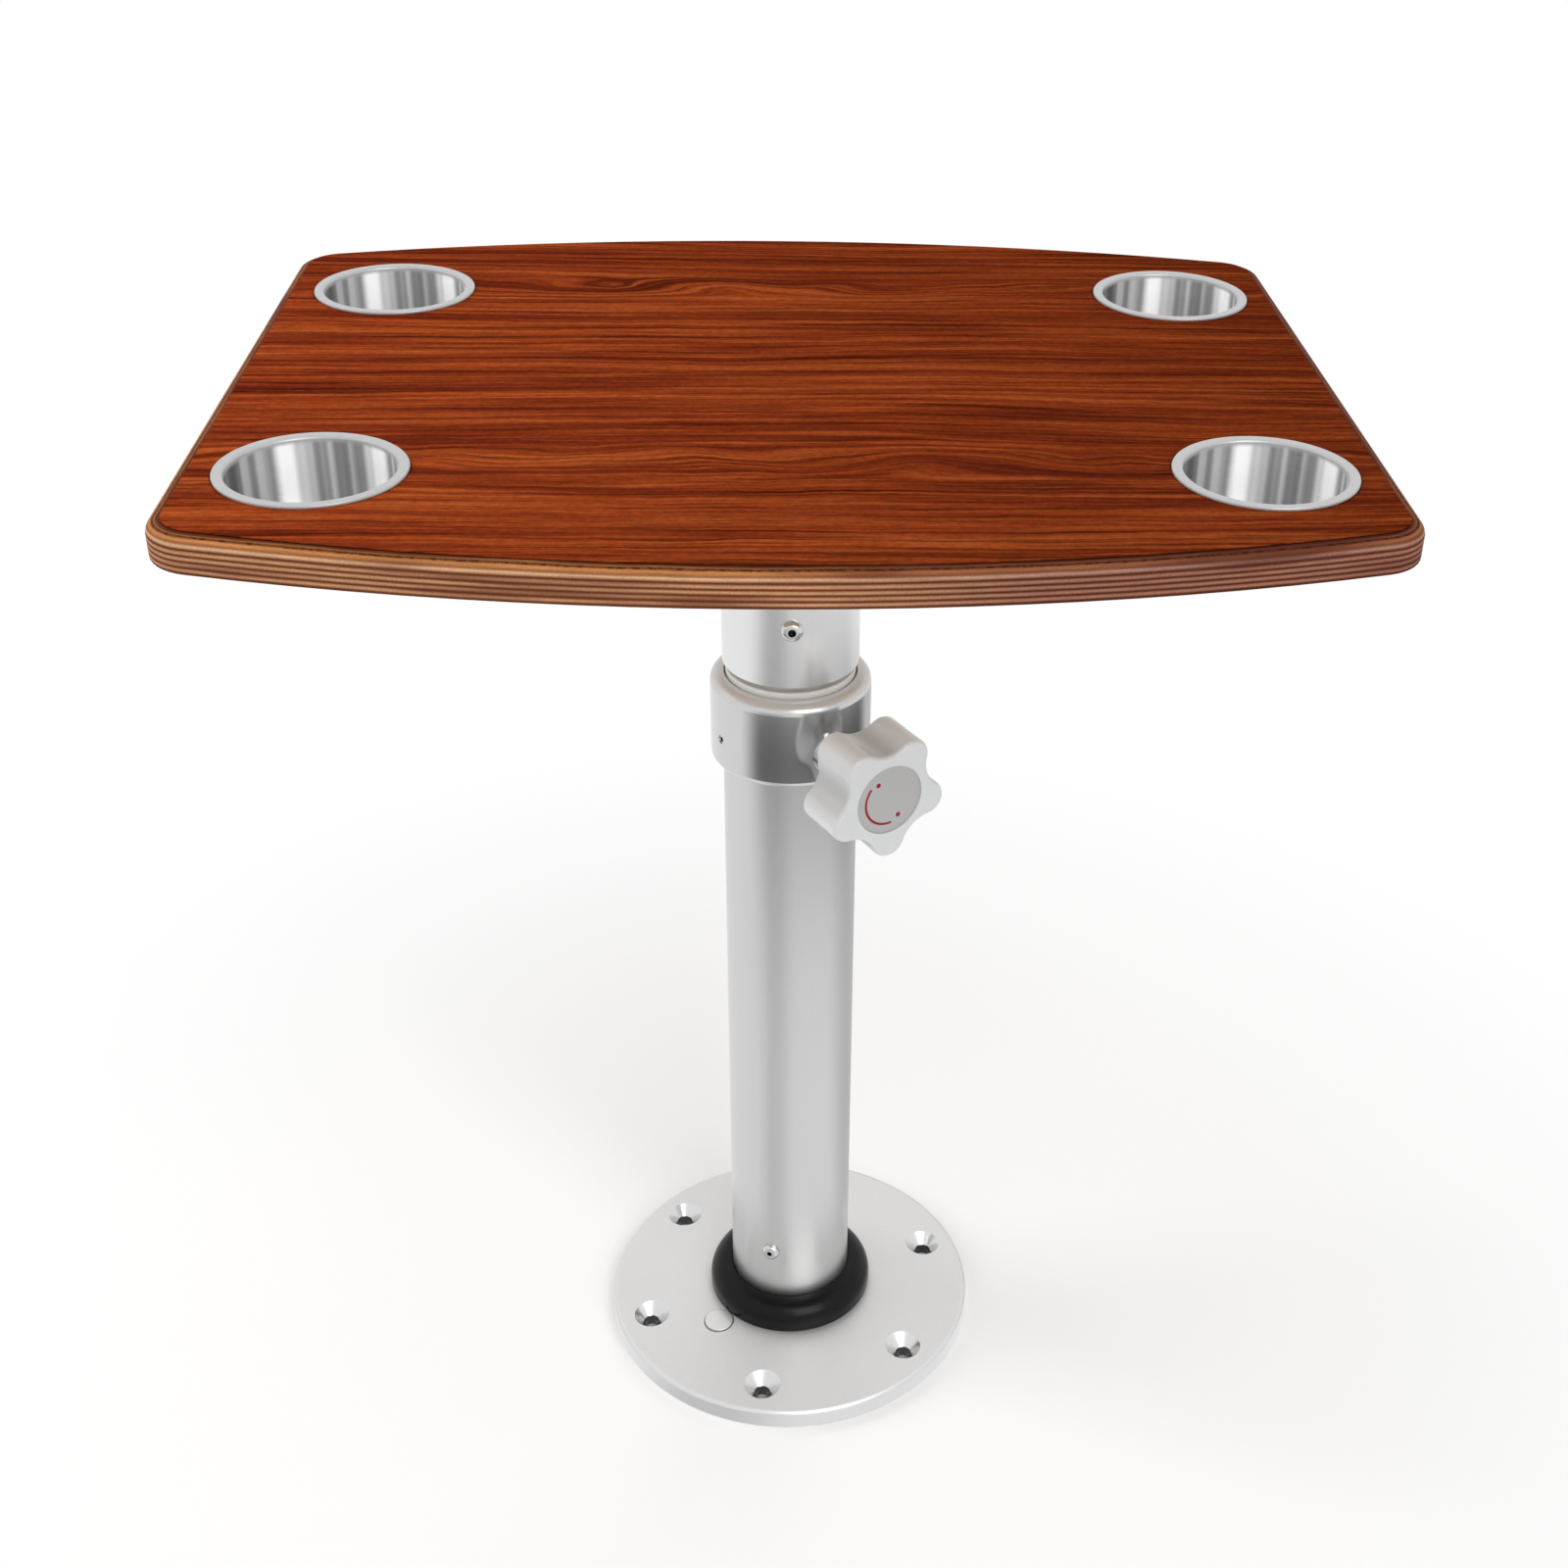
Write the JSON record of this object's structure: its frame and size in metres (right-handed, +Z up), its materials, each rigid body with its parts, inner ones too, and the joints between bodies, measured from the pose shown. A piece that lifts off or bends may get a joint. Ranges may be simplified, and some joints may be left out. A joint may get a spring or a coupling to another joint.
{
  "type": "pedestal table",
  "caption": "Pedestal table: bowed plywood top with cup holders on a telescoping, swivelling column, locked by a lobed clamp knob, on a round bolt-down base.",
  "frame": {"origin": "centre of the underside of the round base, on the floor, below the column axis", "axes": "+Z up along the column, +X along the long side of the top, -Y towards the user who faces the knob"},
  "size_m": [0.564, 0.478, 0.6494],
  "materials": {
    "satin_aluminium": "satin anodised",
    "cast_aluminium": "satin lacquered casting with a bright turned rim",
    "polished_aluminium": "polished",
    "bright_steel": "bright plated",
    "screw_steel": "bright stainless",
    "black_moulding": "glossy black moulding",
    "cream_nylon": "cream nylon",
    "grey_knob": "light grey, satin moulded",
    "grey_disc": "mid grey, printed",
    "plywood": "clear-coated birch ply edge",
    "red_laminate": "red-brown wood-grain laminate, semi-gloss",
    "cup_steel": "brushed stainless"
  },
  "bodies": {
    "pedestal": {"base_flange": "cast_aluminium", "base_ring": "black_moulding", "foot_screws": "screw_steel", "button_retainer": "bright_steel", "release_spring": "bright_steel", "outer_tube": "satin_aluminium", "collar": "polished_aluminium", "collar_grub_screws": "screw_steel", "upper_bush": "cream_nylon", "clamp_hub": "bright_steel", "stop_bumper": "black_moulding"},
    "button": {"release_button": "bright_steel"},
    "clamp_shoe": {"clamp_pad": "cream_nylon"},
    "knob": {"knob_stud": "bright_steel", "clamp_knob": "grey_knob", "knob_disc": "grey_disc"},
    "glide": {"lower_glide": "cream_nylon"},
    "table": {"column_plug": "cream_nylon", "stop_ring": "cream_nylon", "inner_column": "satin_aluminium", "table_sleeve": "satin_aluminium", "sleeve_screws": "screw_steel", "top_plate": "satin_aluminium", "plate_screws": "screw_steel", "table_board": "plywood", "top_laminate": "red_laminate", "cup_holder_front_left": "cup_steel", "cup_holder_front_right": "cup_steel", "cup_holder_back_left": "cup_steel", "cup_holder_back_right": "cup_steel"}
  },
  "joints": [
    {"name": "height_slide", "type": "slide", "parent": "pedestal", "child": "glide", "axis": [0, 0, 1], "range_m": [0, 0.2]},
    {"name": "table_swivel", "type": "hinge", "parent": "glide", "child": "table", "pos_m": [0, 0, 0.18], "axis": [0, 0, 1], "continuous": true},
    {"name": "clamp_advance", "type": "slide", "parent": "pedestal", "child": "clamp_shoe", "axis": [0.5, -0.866, 0], "range_m": [0, 0.0023]},
    {"name": "knob_turn", "type": "hinge", "parent": "clamp_shoe", "child": "knob", "pos_m": [0.045, -0.07794, 0.44453], "axis": [0.5, -0.866, 0], "range_deg": [0, 540]},
    {"name": "button_press", "type": "slide", "parent": "pedestal", "child": "button", "axis": [0, 0, -1], "range_m": [0, 0.001], "stiffness_N_per_m": 1500, "springref_m": -0.003, "deforming": ["release_spring"]}
  ],
  "couplings": [
    {"joint": "clamp_advance", "follows": "knob_turn", "m_per_rad": 0.00023873}
  ]
}
